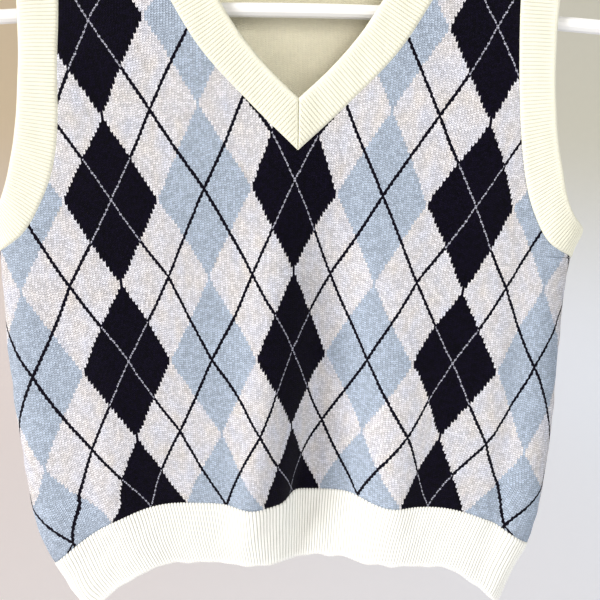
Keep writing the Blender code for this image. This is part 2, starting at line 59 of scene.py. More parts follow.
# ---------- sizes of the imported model
PANEL_WALL = 0.0020
RIB_WALL = 0.0030
SEAM_GAP = 0.0003
ARM_APEX = -0.0750  # where the lines of the hanger's two arms meet
ARM_FALL = math.tan(math.radians(14.0))
DRAPE = 0.0072  # how far the cloth rises over an arm's line
ROUND = 0.0300  # width of the turn at the sides
YOKE = 0.09  # height below the arms that the depth grows over
SEAM_MIDDLE = -0.5270  # heights of the hem in the middle
RIB_FOOT = -0.5800
V_SEAM = -0.2492
V_EDGE = -0.2130
NECK_SHOULDER_SEAM = 0.1150
NECK_SHOULDER_EDGE = 0.0885
BACK_NECK_SEAM = -0.1235
BACK_NECK_EDGE = -0.0975
BACK_NECK_POWERS = (0.9, 3.0)
PIT_LEVEL = -0.3150
OUTLINE = table(
    "z left right front back",
    (-0.090, 0.2320, 0.2260, 0.0075, 0.0075),
    (-0.160, 0.2320, 0.2220, 0.0125, 0.0115),
    (-0.220, 0.2320, 0.2190, 0.0170, 0.0150),
    (-0.303, 0.2315, 0.2185, 0.0200, 0.0185),
    (-0.322, 0.2295, 0.2125, 0.0205, 0.0190),
    (-0.345, 0.2285, 0.2095, 0.0210, 0.0200),
    (-0.400, 0.2285, 0.2095, 0.0215, 0.0215),
    (-0.450, 0.2262, 0.2102, 0.0225, 0.0235),
    (-0.488, 0.2228, 0.2092, 0.0232, 0.0245),
    (-0.520, 0.2202, 0.2075, 0.0238, 0.0250),
    (-0.543, 0.2178, 0.2045, 0.0240, 0.0250),
    (-0.560, 0.2145, 0.2012, 0.0240, 0.0250),
    (-0.580, 0.2080, 0.1935, 0.0235, 0.0245),
    (-0.600, 0.1975, 0.1860, 0.0230, 0.0240),
    (-0.620, 0.1875, 0.1800, 0.0225, 0.0235),
    (-0.641, 0.1724, 0.1720, 0.0220, 0.0230),
)
HEM_DROP = {
    "left": dict(start=0.085, seam=0.0640, foot=0.0610),
    "right": dict(start=0.110, seam=0.0400, foot=0.0400),
}
# height in the middle and half-width of the hem's two lines
HEM_LINE = dict(seam=(SEAM_MIDDLE, 0.199), foot=(RIB_FOOT, 0.174))
LINES = "seam_x seam_z edge_x edge_z"
ARMHOLE = {
    "left": table(
        LINES,
        (0.1735, None, 0.203, None),
        (0.1718, -0.15, 0.2018, -0.152),
        (0.1728, -0.19, 0.201, -0.19),
        (0.1735, -0.225, 0.2032, -0.223),
        (0.1755, -0.2485, 0.2062, -0.243),
        (0.1805, -0.27, 0.21, -0.26),
        (0.19, -0.292, 0.2155, -0.2775),
        (0.204, -0.3135, 0.223, -0.2925),
        (0.2291, -0.33, 0.2315, -0.303),
    ),
    "right": table(
        LINES,
        (0.159, None, 0.1865, None),
        (0.1563, -0.147, 0.184, -0.148),
        (0.157, -0.186, 0.1832, -0.186),
        (0.1597, -0.221, 0.1855, -0.218),
        (0.164, -0.252, 0.1895, -0.243),
        (0.169, -0.2745, 0.194, -0.261),
        (0.1765, -0.294, 0.1985, -0.277),
        (0.188, -0.3125, 0.206, -0.292),
        (0.2116, -0.326, 0.2185, -0.303),
    ),
}
V_NECK = table(
    "up " + LINES,
    (0, 0, V_SEAM, 0, V_EDGE),
    (0.25, 0.037, -0.2145, 0.0225, -0.192),
    (0.5, 0.0705, -0.1795, 0.0425, -0.169),
    (0.7, 0.0905, -0.149, 0.059, -0.144),
    (0.87, 0.105, -0.123, 0.074, -0.117),
    (1, NECK_SHOULDER_SEAM, None, NECK_SHOULDER_EDGE, None),
)
V_LEVEL, WAIST_LEVEL = -0.2495, -0.4160
FOLD_START = 0.06  # height that the folds grow over
# the folds, each value given at the V, the waist, the hem's seam and its foot
VALLEY = dict(
    depth=(-0.004, -0.020, -0.027, -0.012),
    rise=(0.012, 0.009, -0.004, -0.002),
    rise_over=(0.014, 0.012, 0.005, 0.008),
    fall=(0.050, 0.054, 0.057, 0.052),
    fall_over=(0.016, 0.015, 0.012, 0.014),
)
RIDGES = {
    "front": table(
        "depth at width",
        ((0.002, 0.009, 0.012, 0.005), (-0.010, -0.022, -0.032, -0.030), (0.016, 0.018, 0.016, 0.018)),
        ((0.000, 0.003, 0.006, 0.003), (0.075, 0.078, 0.081, 0.085), (0.018, 0.018, 0.014, 0.018)),
        ((0.000, -0.003, -0.004, -0.002), (0.168, 0.170, 0.168, 0.160), (0.010, 0.010, 0.010, 0.010)),
        ((0.000, 0.002, 0.004, 0.003), (-0.150, -0.145, -0.140, -0.125), (0.022, 0.022, 0.020, 0.020)),
    ),
    "back": table(
        "depth at width",
        ((0.000, 0.004, 0.007, 0.004), (-0.095, -0.100, -0.105, -0.100), (0.026, 0.026, 0.024, 0.026)),
        ((0.001, -0.003, -0.006, -0.003), (-0.040, -0.045, -0.048, -0.045), (0.024, 0.022, 0.020, 0.024)),
        ((0.001, 0.004, 0.008, 0.004), (0.035, 0.040, 0.046, 0.044), (0.030, 0.028, 0.024, 0.028)),
        ((0.000, -0.002, -0.004, -0.002), (0.115, 0.112, 0.110, 0.105), (0.020, 0.020, 0.018, 0.020)),
    ),
}

# ---------- sizes of the looks
STITCHES_PER_QUARTER = 18.0  # wales in a quarter of the argyle's repeat
ROWS_PER_HALF = 36.0  # courses in half a diamond's height
CENTRE_WALE = -0.0020  # where the middle wale hangs
# heights of the diamonds' corners on the middle wale, from v = -1 on
CORNER_ZS = (-0.0850, -0.1470, -0.2095, -0.2707, -0.3372, -0.3982, -0.4618, -0.5200, -0.5790)
CORNERS = [dict(z=z, v=k - 1.0) for k, z in enumerate(CORNER_ZS)]
# heights, on the middle wale, that the next two tables are given at
LEVELS = dict(
    top=-0.147, yoke=-0.2095, chest=-0.271, belly=-0.337,
    waist=-0.398, low=-0.462, fold=-0.4915, hem=-0.520,
)
CHART = "u " + " ".join(LEVELS)
MILLIMETRE = 0.001
QUARTER = 0.0335  # the cloth to a quarter repeat, as a first guess
# millimetres of cloth to a quarter repeat, averaged from the middle wale out to u quarters
SPACING = {
    "left": table(
        CHART,
        (0, 35, 37.5, 31, 31, 27.5, 27, 31, 35),
        (1, 35.2, 37.2, 31.4, 31.4, 28.5, 28, 31.4, 34.8),
        (2, 35.6, 35.2, 33.2, 32.3, 32.5, 30.2, 32, 33.8),
        (3, 36.4, 35, 33.5, 31.7, 32.3, 31.1, 32.2, 33.4),
        (4, 37.1, 34.8, 33.7, 32.7, 32.3, 31.9, 32.1, 32.4),
        (5, 37.2, 35.2, 34, 34, 32.9, 32.9, 32.7, 31.2),
        (6, 37.2, 35.5, 34.5, 34.6, 34.1, 34.4, 35, 30.2),
        (7, 37.2, 35.6, 34.8, 35, 35, 35.4, 35.8, 30),
    ),
    "right": table(
        CHART,
        (0, 35.2, 35.8, 32, 30.5, 32, 32, 30, 28),
        (1, 35.8, 35.6, 32.2, 31.3, 32.6, 32.9, 30.9, 29),
        (2, 36.2, 34.8, 33, 33.5, 34.2, 34.6, 33.4, 32.2),
        (3, 36.1, 34.6, 32.9, 32.8, 34.6, 35.8, 35.2, 34.7),
        (4, 35.6, 35.2, 33.7, 33.6, 33.8, 33.4, 32.6, 31.9),
        (5, 35.5, 34.6, 32.5, 33.3, 34, 34.2, 33, 31.3),
        (6, 35.4, 34.4, 32.4, 32.5, 33.2, 33.8, 34.2, 31.5),
        (7, 35.4, 34.4, 32.4, 32.2, 33, 33.6, 35.2, 31.5),
    ),
}
# millimetres a course has sunk below its middle, by quarter repeats outwards
SINK = {
    "left": table(
        CHART,
        (0, 0, 0, 0, 0, 0, 0, 0, 0),
        (0.4, 1, -9, 1.5, 1, 1.5, 1.2, 1.4, 1.5),
        (1, 3, 1.5, 5.5, 3, 6, 3.8, 4.3, 4.9),
        (2, 7, 8.5, 7.6, 5.5, 9.6, 5.4, 6.2, 7),
        (3, 12, 13.5, 16.5, 6.5, 11, 4, 5.6, 7.2),
        (4, 15, 19, 16.7, 12.1, 11.5, 9.8, 10.1, 10.3),
        (5, 18, 20, 18, 15.1, 21.5, 20.2, 21.8, 23.4),
        (6, 20, 21, 19, 20, 26, 38, 41.2, 44.5),
        (7, 21, 22, 20, 23, 29, 50, 55, 60),
    ),
    "right": table(
        CHART,
        (0, 0, 0, 0, 0, 0, 0, 0, 0),
        (0.4, 1.5, -7, 2.5, 1, 2, 0.4, 0.8, 1.2),
        (1, 5, 5, 8.9, 3.1, 7, 1.2, 2.6, 4),
        (2, 10, 10.5, 10.4, 8.6, 9.2, 4.8, 5.2, 5.7),
        (3, 15.5, 14, 15.6, 7.2, 8.9, 4.9, 4.5, 4.2),
        (4, 14.8, 18.5, 17.2, 13.8, 8.9, 5.2, 5.4, 5.6),
        (5, 15, 18.5, 17.4, 10.5, 14.5, 10.7, 11.1, 11.6),
        (6, 16, 18.5, 17.5, 9.8, 11.2, 15.8, 19.4, 23.1),
        (7, 17, 18.5, 17.6, 10, 11.5, 21, 26.5, 32),
    ),
}
LEG_SLANT = 1.2  # how steeply a stitch's legs rise, in courses for each wale
RIB_SLANT = 1.4  # and those of a rib's
CELL_STEPS = 0.85  # how far the diamonds' edges keep to whole stitches
LINE_STEPS = 0.40  # and the thin lines
LINE_WIDTH = 0.66  # half-widths of a thin line, in wales: dark on the pale cells,
THREAD_WIDTH = 0.30  # and light on the navy ones,
DASH = 0.62  # where it shows over this share of a course
BAND_PITCH = 0.00277  # one rib and one groove of the bands
SAMPLES_PER_RIB = 8
RIB_HEIGHT = 0.00042
RIB_SINK = 0.35  # share of the ribs' height that the grooves sink
RIB_SHARP = 12.0  # how narrow the grooves are
RIB_COURSE = 0.0017  # one row of the rib
EDGE_ROUND = 0.0016  # radius of a band's folded free edge
EDGE_FADE = 0.0060  # width that the ribs fade over towards it
MITRE_ROUND = 0.0009  # the same where ribs end at the V's mitre
MITRE_FADE = dict(left=0.0040, right=0.0018)
MITRE_LEAN = (0.70, 0.22)  # where up the V its ribs start to lean, and over how much
UNDERARM = -0.30  # seams that start below this start on the side's fold
DIP, DIP_WIDTH = 0.0003, 0.0022  # a panel's dip along the bands, and its width
DIP_ROWS = 6.0  # rows above the armpit that the dip starts over
SEAM_TUBE = 0.00045  # radius of a linked seam's chain
CHAIN_LIFT = 0.00040  # its centre above the cloth's middle
CHAIN_SIDES = 6
SEAM_LOOP = 0.0014  # length of one of its loops
# seed and size of the long waves in each surface
WAVES = dict(
    front=(3, 0.00022), back=(4, 0.00022), band=(6, 0.00016), hem=(9, 0.00025), foot=(12, 0.0007)
)
WAVE_COUNT, WAVE_LENGTHS = 10, (0.014, 0.050)
WAVE_ROWS = 4.0  # rows above the hem's seam that the waves start over

OVER_ARM = (75.0, 60.0, 45.0, 30.0, 15.0, 0.0)
HALF_COLUMNS = 84
COLUMN_CROWD = 1.22
ROWS = dict(
    front=dict(to_armpit=84, to_neck=26, to_arm=60, neck_share=0.36),
    back=dict(to_armpit=84, to_neck=64, to_arm=14, neck_share=0.80),
)
BAND_ROWS, BAND_CROWD = 13, 0.12
HEM_ROWS, HEM_CROWD = 18, 0.16
HEM_RIBS = 86  # ribs in half a hem
HEM_RIB_HEIGHT, HEM_RIB_SINK = 0.00048, 0.3
HEM_TOOTH = 0.0011  # how far the ribs of the hem reach up into the seam
HEM_SCALLOP = -0.0005  # and down at its foot
HEM_GUESS = -0.57  # first guess of a hem corner's height
# rounds that settle a hem's corner, a place in the knitting and a grid
CORNER_ROUNDS, KNIT_ROUNDS, GRID_ROUNDS = 40, 16, 24
ARC_XS, ARC_ZS = (-0.240, 0.240, 961), (-0.660, -0.060, 241)  # where distances are measured
PATH_STEPS, TURN_STEPS = 400, 60
JOIN = 2e-6  # points closer than this are one
PROBE = 0.0003  # step that slopes are measured over

# ---------- colours, sRGB of 0 to 255
GROUND, GROUND_COOL = (231, 227, 226), (224, 227, 240)
BLUE, NAVY = (181, 195, 214), (12, 9, 24)
DARK_LINE, LIGHT_THREAD = (13, 11, 25), (188, 190, 206)
CREAM, CREAM_LIT = (238, 233, 206), (243, 238, 215)
PLASTIC, PLASTIC_LIT = (240, 240, 238), (247, 247, 246)
# the groove colours are painted shade, laid into the ribs' grooves
NECK_RIB = dict(shaded=(236, 235, 215), lit=(240, 239, 222), groove_shade=(150, 149, 134), depth=0.56)
ARM_RIB = dict(shaded=(237, 236, 217), lit=(241, 240, 224), groove_shade=(150, 149, 136), depth=0.54)
HEM_RIB = dict(shaded=(237, 237, 231), lit=(242, 242, 238), groove_shade=(138, 140, 126), depth=0.74)
# painted light: the paper's colours run as the room's light falls on it, warm on the left and cooler to
# the right and floor
WALL_LEFT, WALL_RIGHT = (196, 180, 155), (194, 193, 181)
FLOOR_LEFT, FLOOR_RIGHT = (227, 219, 220), (227, 232, 243)
PAINTED_PAPER_GLOW = 0.48  # painted light: the paper glows in its own colours, though it is no lamp


# ---------- small tools
def smooth(t):
    t = np.clip(t, 0.0, 1.0)
    return t * t * (3.0 - 2.0 * t)


def curve(xs, ys, x):
    """A smooth curve through the points that never overshoots them."""
    xs, ys = np.array(xs, float), np.array(ys, float)
    if xs[0] > xs[-1]:
        xs, ys = xs[::-1], ys[::-1]
    slopes = np.diff(ys) / np.diff(xs)
    lean = np.concatenate([slopes[:1], slopes[1:], slopes[-1:]])
    a, b = slopes[:-1], slopes[1:]
    same = a * b > 0.0
    lean[1:-1] = np.where(same, 2.0 * a * b / np.where(same, a + b, 1.0), 0.0)
    x = np.clip(x, xs[0], xs[-1])
    i = np.clip(np.searchsorted(xs, x, side="right") - 1, 0, len(xs) - 2)
    h = xs[i + 1] - xs[i]
    t = (x - xs[i]) / h
    return (
        (2 * t**3 - 3 * t**2 + 1) * ys[i]
        + (t**3 - 2 * t**2 + t) * h * lean[i]
        + (3 * t**2 - 2 * t**3) * ys[i + 1]
        + (t**3 - t**2) * h * lean[i + 1]
    )


def read(rows, key, column, x):
    return curve([r[key] for r in rows], [r[column] for r in rows], x)


def by_side(x, left, right):
    return np.where(np.asarray(x) < 0.0, left, right)


def sign_of(side):
    return -1.0 if side == "left" else 1.0


def unit(vectors):
    size = np.linalg.norm(vectors, axis=-1, keepdims=True)
    return vectors / np.maximum(size, 1e-12)


def bell(t):
    return np.exp(-(t**2))


def running(point, axis=0):
    """Distance along lines of points, from the first."""
    steps = np.linalg.norm(np.diff(point, axis=axis), axis=-1)
    return np.concatenate([np.zeros_like(steps.take([0], axis)), np.cumsum(steps, axis=axis)], axis)


def crowded(rows, amount):
    """Shares down a band, closer together at its two edges."""
    s = np.linspace(0.0, 1.0, rows + 1)
    return (s - amount * np.sin(2.0 * math.pi * s) / math.pi)[:, None]


def ring_faces(rings, sides, base):
    """Faces of a tube between its rings of points."""
    faces = []
    for i in range(rings - 1):
        a, b = base + i * sides, base + (i + 1) * sides
        for k in range(sides):
            m = (k + 1) % sides
            faces.append([a + k, b + k, b + m, a + m])
    return faces


def uneven(x, z, seed, size):
    """A few long waves, so that no stretch of knitting is quite flat."""
    draw = np.random.default_rng(seed)
    total = 0.0
    for _ in range(WAVE_COUNT):
        wave = draw.uniform(*WAVE_LENGTHS)
        angle = draw.uniform(0.0, math.pi)
        start = draw.uniform(0.0, 2.0 * math.pi)
        along = x * math.cos(angle) + z * math.sin(angle)
        total = total + np.sin(2.0 * math.pi * along / wave + start)
    return size * total / math.sqrt(0.5 * WAVE_COUNT)


# ---------- the hanging form
def arm_height(x):
    return ARM_APEX - np.abs(x) * ARM_FALL


def outline(column, z):
    return read(OUTLINE, "z", column, z)


def reach_at(x, z):
    return by_side(x, outline("left", z), outline("right", z))


def over_arm(angles):
    """Rise of the cloth's middle over the line of an arm, by degrees from its top."""
    return DRAPE * np.cos(np.radians(angles))


def hem_height(side, x, level):
    """Height of the hem's seam or foot, which drops towards the sides."""
    drop = HEM_DROP[side]
    middle, reach = HEM_LINE[level]
    past = np.maximum(0.0, np.abs(x) - drop["start"]) / (reach - drop["start"])
    return middle - drop[level] * np.minimum(1.1, past) ** 2


def corner_height(side, level):
    """Height where one of the hem's lines meets the side."""
    z = HEM_GUESS
    for _ in range(CORNER_ROUNDS):
        z = 0.5 * z + 0.5 * hem_height(side, outline(side, z), level)
    return float(z)


def at_height(values, z):
    """A value of the folds at a height."""
    v, waist, seam, foot = values
    low = seam + (foot - seam) * smooth((SEAM_MIDDLE - z) / (SEAM_MIDDLE - RIB_FOOT))
    mid = waist + (seam - waist) * (WAIST_LEVEL - z) / (WAIST_LEVEL - SEAM_MIDDLE)
    high = v + (waist - v) * smooth((V_LEVEL - z) / (V_LEVEL - WAIST_LEVEL))
    return np.where(z < SEAM_MIDDLE, low, np.where(z < WAIST_LEVEL, mid, high))


def relief(face, x, z):
    """How far the folds stand out from the cloth."""
    total = 0.0
    if face == "front":
        depth, rise, rise_over, fall, fall_over = [at_height(v, z) for v in VALLEY.values()]
        into, out = (x - rise) / rise_over, (fall - x) / fall_over
        total = depth * (0.25 * (1.0 + np.tanh(into)) * (1.0 + np.tanh(out)))
    for fold in RIDGES[face]:
        depth, at, width = [at_height(v, z) for v in fold.values()]
        total = total + depth * bell((x - at) / width)
    return total * smooth((V_LEVEL + FOLD_START - z) / FOLD_START)


def depth_of(face, x, z):
    """Distance of the cloth's middle surface from the middle plane."""
    past = np.clip((np.abs(x) - (reach_at(x, z) - ROUND)) / ROUND, 0.0, 1.0)
    rounding = np.sqrt(1.0 - past * past)
    below = arm_height(x) + DRAPE - z
    over = np.sqrt(np.maximum(0.0, 1.0 - np.clip(1.0 - below / DRAPE, 0.0, 1.0) ** 2))
    flat = DRAPE + (outline(face, z) - DRAPE) * smooth(below / YOKE)
    return rounding * (over * flat + relief(face, x, z))


def on_cloth(face, x, z):
    """Points of the middle surface and its outward normals."""
    way = -1.0 if face == "front" else 1.0
    to_fold = reach_at(x, z) - np.abs(x)
    to_top = arm_height(x) + DRAPE - z
    hx = np.clip(0.5 * to_fold, 1e-7, PROBE)
    hz = np.clip(0.5 * to_top, 1e-7, PROBE)
    slope_x = (depth_of(face, x + hx, z) - depth_of(face, x - hx, z)) / (2.0 * hx)
    slope_z = (depth_of(face, x, z + hz) - depth_of(face, x, z - hz)) / (2.0 * hz)
    normal = np.stack([-slope_x, np.full_like(slope_x, way), -slope_z], -1)
    sides = by_side(x, -1.0, 1.0)
    zero = np.zeros_like(slope_x)
    normal = np.where((to_fold < JOIN)[..., None], np.stack([sides, zero, zero], -1), normal)
    lean = np.stack([sides * ARM_FALL, zero, zero + 1.0], -1)
    normal = np.where((to_top < JOIN)[..., None], lean, normal)
    return np.stack([x, way * depth_of(face, x, z), z], -1), unit(normal)


def turn_length(z):
    deep = outline("front", z)
    return 0.5 * math.pi * np.sqrt((ROUND**2 + deep**2) / 2.0)


def unrolled(side, x, z):
    """Distance round the cloth from the centre line, counting the rounded side."""
    start = outline(side, z) - ROUND
    past = np.clip((np.abs(x) - start) / ROUND, 0.0, 1.0)
    round_part = start + turn_length(z) * np.arcsin(past) / (0.5 * math.pi)
    return np.where(np.abs(x) <= start, np.abs(x), round_part)


def rolled(side, p, z):
    start = outline(side, z) - ROUND
    angle = np.clip((p - start) / turn_length(z), 0.0, 1.0) * 0.5 * math.pi
    return sign_of(side) * np.where(p <= start, p, start + ROUND * np.sin(angle))


def line_of(rows, at, share, line):
    """Half-width and height along one of a band's two lines; None is the height of the arm."""
    xs = [r[line + "_x"] for r in rows]
    zs = [r[line + "_z"] for r in rows]
    zs = [float(arm_height(x)) if z is None else z for x, z in zip(xs, zs)]
    return curve(at, xs, share), curve(at, zs, share)


def armhole_line(side, share, line):
    rows = ARMHOLE[side]
    at = [k / (len(rows) - 1.0) for k in range(len(rows))]
    x, z = line_of(rows, at, share, line)
    return sign_of(side) * x, z


def v_line(side, up, line):
    x, z = line_of(V_NECK, [r["up"] for r in V_NECK], up, line)
    return sign_of(side) * x, z


def back_neck_line(side, up, line):
    end = NECK_SHOULDER_SEAM if line == "seam" else NECK_SHOULDER_EDGE
    low = BACK_NECK_SEAM if line == "seam" else BACK_NECK_EDGE
    sweep_power, rise_power = BACK_NECK_POWERS
    x = end * np.sin(up * 0.5 * math.pi) ** sweep_power
    return sign_of(side) * x, low + (arm_height(end) - low) * (x / end) ** rise_power


# ---------- closed walls of cloth
class Cloth:
    """Grids of a middle surface, joined where they meet and made into one closed wall."""

    def __init__(self):
        self.grids = []

    def add(self, point, normal, out, back, coords):
        out, back = [np.broadcast_to(wall, point.shape[:2]) for wall in (out, back)]
        self.grids.append((point, normal, out, back, coords))

    def faces(self):
        quads = []
        base = 0
        for point, *_ in self.grids:
            rows, columns = point.shape[:2]
            index = base + np.arange(rows * columns).reshape(rows, columns)
            corners = [index[:-1, :-1], index[:-1, 1:], index[1:, 1:], index[1:, :-1]]
            quads.append(np.stack(corners, -1).reshape(-1, 4))
            base += rows * columns
        return np.concatenate(quads)

    def flat(self, k, width=None):
        parts = [g[k].reshape(-1, width) if width else g[k].reshape(-1) for g in self.grids]
        return np.concatenate(parts)

    def build(self, name, material):
        points = self.flat(0, 3)
        _, first, joined = np.unique(
            np.round(points / JOIN).astype(np.int64), axis=0, return_index=True, return_inverse=True
        )
        quads = joined.reshape(-1)[self.faces()]
        points, normals = points[first], self.flat(1, 3)[first]
        out, back, coords = self.flat(2)[first], self.flat(3)[first], self.flat(4, 3)[first]
        diagonals = np.cross(
            points[quads[:, 2]] - points[quads[:, 0]], points[quads[:, 3]] - points[quads[:, 1]]
        )
        wrong = np.einsum("ij,ij->i", diagonals, normals[quads].sum(1)) < 0.0
        quads[wrong] = quads[wrong][:, ::-1]
        whole = np.all(quads != np.roll(quads, 1, axis=1), axis=1)
        faces = quads[whole].tolist()
        for quad in quads[~whole].tolist():
            corners = [k for n, k in enumerate(quad) if k != quad[n - 1]]
            if len(corners) == 3:
                faces.append(corners)
        n = len(points)
        edges = {}
        for face in faces:
            for k, b in enumerate(face):
                a = face[k - 1]
                if not edges.pop((b, a), False):
                    edges[(a, b)] = True
        walls = [[b, a, a + n, b + n] for a, b in edges]
        inside = [[k + n for k in reversed(face)] for face in faces]
        verts = np.concatenate([points + normals * out[:, None], points - normals * back[:, None]])
        made = mesh_object(name, verts, faces + inside + walls, material)
        shaded = [True] * (2 * len(faces)) + [False] * len(walls)
        made.data.polygons.foreach_set("use_smooth", shaded)
        attribute = made.data.attributes.new("cloth", "FLOAT_VECTOR", "POINT")
        attribute.data.foreach_set("vector", np.concatenate([coords, coords]).reshape(-1))
        return made


def linked(name, data):
    """A new object in the scene."""
    made = bpy.data.objects.new(name, data)
    bpy.context.scene.collection.objects.link(made)
    return made


def mesh_object(name, verts, faces, material):
    mesh = bpy.data.meshes.new(name)
    mesh.from_pydata(verts.tolist(), [], faces)
    mesh.materials.append(material)
    mesh.polygons.foreach_set("use_smooth", [True] * len(mesh.polygons))
    mesh.update()
    return linked(name, mesh)


# ---------- wales and courses
def arc_lengths(face):
    """Distance along the cloth from the middle wale, on a grid of places."""
    xs, zs = np.linspace(*ARC_XS), np.linspace(*ARC_ZS)
    x, z = np.meshgrid(xs, zs)
    reach = reach_at(x, z)
    x = np.clip(x, -reach, reach)
    deep = depth_of(face, x, z)
    steps = np.hypot(np.diff(x, axis=1), np.diff(deep, axis=1))
    arcs = np.pad(np.cumsum(steps, axis=1), ((0, 0), (1, 0)))
    middle = np.argmin(np.abs(xs - CENTRE_WALE))
    return xs, zs, arcs - arcs[:, middle : middle + 1]


def bilinear(xs, zs, values, x, z):
    fx = (np.clip(x, xs[0], xs[-1]) - xs[0]) / (xs[1] - xs[0])
    fz = (np.clip(z, zs[0], zs[-1]) - zs[0]) / (zs[1] - zs[0])
    i = np.minimum(fx.astype(int), len(xs) - 2)
    j = np.minimum(fz.astype(int), len(zs) - 2)
    fx, fz = fx - i, fz - j
    top = values[j, i] * (1 - fx) + values[j, i + 1] * fx
    low = values[j + 1, i] * (1 - fx) + values[j + 1, i + 1] * fx
    return top * (1 - fz) + low * fz


def charted(chart, u, level):
    """A chart's value between its wales and its levels, from the side that u is on."""
    columns = []
    for name in LEVELS:
        columns.append(by_side(u, *[read(chart[side], "u", name, np.abs(u)) for side in SIDES]))
    heights = list(LEVELS.values())
    total = columns[0]
    for k in range(1, len(heights)):
        share = np.clip((heights[k - 1] - level) / (heights[k - 1] - heights[k]), 0.0, 1.0)
        total = total + (columns[k] - columns[k - 1]) * share
    return MILLIMETRE * total


def knit_coords(arcs, x, z):
    """Place in the knitting: quarter repeats sideways, half diamonds downwards."""
    along = bilinear(*arcs, x, z)
    u = along / QUARTER
    level = z
    for _ in range(KNIT_ROUNDS):
        level = z + charted(SINK, u, level)
        u = 0.5 * (u + along / charted(SPACING, u, level))
    v = read(CORNERS, "z", "v", level)
    return np.stack([u, v, np.zeros_like(u)], -1)


# ---------- front and back
def row_ends(face, side):
    """Inner and outer end of each row of half a panel, from the hem seam up over the arm."""
    rows = ROWS[face]
    line = v_line if face == "front" else back_neck_line
    corner = corner_height(side, "seam")
    pit_z = armhole_line(side, 1.0, "seam")[1]
    neck_z = V_SEAM if face == "front" else BACK_NECK_SEAM
    share = rows["neck_share"]

    t = np.arange(rows["to_armpit"] + 1) / rows["to_armpit"]
    outer_z = corner + (pit_z - corner) * t
    inner = [(0.0 * t, SEAM_MIDDLE + (PIT_LEVEL - SEAM_MIDDLE) * t)]
    outer = [(sign_of(side) * outline(side, outer_z), outer_z)]
    low = [smooth(1.0 - t)]
    t = np.arange(1, rows["to_neck"] + 1) / rows["to_neck"]
    inner.append((0.0 * t, PIT_LEVEL + (neck_z - PIT_LEVEL) * t))
    outer.append(armhole_line(side, 1.0 - share * t, "seam"))
    low.append(0.0 * t)
    t = np.arange(1, rows["to_arm"] + 1) / rows["to_arm"]
    inner.append(line(side, t, "seam"))
    outer.append(armhole_line(side, (1.0 - share) * (1.0 - t), "seam"))
    low.append(0.0 * t)
    return np.concatenate(inner, axis=1), np.concatenate(outer, axis=1), np.concatenate(low)


def panel_grid(face, side):
    """Places of the grid of half a panel, with the rows that lie over the arm."""
    inner, outer, low = row_ends(face, side)
    xi, zi, xo, zo, low = [a[:, None] for a in (*inner, *outer, low)]
    s = ((np.arange(HALF_COLUMNS + 1) / HALF_COLUMNS) ** COLUMN_CROWD)[None, :]
    p = np.abs(xi) + (unrolled(side, xo, zo) - np.abs(xi)) * s
    z = zi + (zo - zi) * s
    for _ in range(GRID_ROUNDS):
        x = rolled(side, p, z)
        share = (hem_height(side, x, "seam") - SEAM_MIDDLE) / (zo[0, 0] - SEAM_MIDDLE)
        sag = low * share + (1.0 - low) * s
        z = 0.5 * z + 0.5 * (zi + (zo - zi) * sag)
    x[:, -1:], z[:, -1:] = xo, zo
    x[:, :1], z[:, :1] = xi, zi
    over_x = np.repeat(x[-1:], len(OVER_ARM), axis=0)
    over_z = arm_height(over_x) + over_arm(OVER_ARM)[:, None]
    return np.concatenate([x, over_x]), np.concatenate([z, over_z])


def edge_dip(face, x, z):
    """How far a panel sinks towards the bands that are linked onto it, as a share."""
    rows = ROWS[face]
    run = running(np.stack([x, z], -1), axis=1)
    row = np.arange(len(x))[:, None]
    starts = smooth((row - rows["to_armpit"]) / DIP_ROWS)
    by_arm = bell((run[:, -1:] - run) / DIP_WIDTH) * starts
    by_neck = bell(run / DIP_WIDTH) * (row >= rows["to_armpit"] + rows["to_neck"])
    return np.maximum(by_arm, by_neck)


def panel(name, face, finish):
    arcs = arc_lengths(face)
    cloth = Cloth()
    half = 0.5 * PANEL_WALL
    for side in SIDES:
        x, z = panel_grid(face, side)
        point, normal = on_cloth(face, x, z)
        near = edge_dip(face, x, z)
        shift = uneven(x, z, *WAVES[face]) * (1.0 - near)
        fade = np.minimum(1.0, np.arange(len(x))[:, None] / WAVE_ROWS)
        point = point + normal * (shift * fade - DIP * near)[..., None]
        cloth.add(point, normal, half, half, knit_coords(arcs, x, z))
    return cloth.build(name, finish)


# ---------- ribbed bands
def rib_wave(phase):
    """1 on a rib, 0 in the groove beside it."""
    return 1.0 - np.abs(np.cos(math.pi * phase)) ** RIB_SHARP


def edge_profile(from_edge, radius):
    """Share of the full wall, rounding down to almost nothing at a folded edge."""
    near = np.clip(1.0 - from_edge / radius, 0.0, 1.0)
    return np.sqrt(1.0 - near * near * 0.985)


def ribbed(full, rib, sink, wave, back_wave):
    """Half walls outwards and inwards of a band with ribs of a height."""
    flat = 0.5 * RIB_WALL * full - sink * rib
    return flat + rib * wave, flat + rib * back_wave


def half_path(lines, side, backwards=False):
    """One half of a band's two lines, from its start to the top of the arm, closely divided."""
    share = np.linspace(0.0, 1.0, PATH_STEPS)
    share = share[::-1] if backwards else share
    turn = np.linspace(90.0, 0.0, TURN_STEPS)[1:]
    path = []
    for line in ("seam", "edge"):
        x, z = lines(side, share, line)
        path.append(np.concatenate([x, np.full(len(turn), x[-1])]))
        path.append(np.concatenate([z, arm_height(x[-1]) + over_arm(turn)]))
    return path


def stations(face, path):
    """Places at even steps along a band's seam, a whole number of ribs in all."""
    point, _ = on_cloth(face, path[0], path[1])
    run = running(point)
    ribs = int(round(run[-1] / BAND_PITCH))
    at = np.linspace(0.0, run[-1], ribs * SAMPLES_PER_RIB + 1)
    phase = np.linspace(0.0, ribs, ribs * SAMPLES_PER_RIB + 1)
    return [np.interp(at, run, a) for a in path], phase


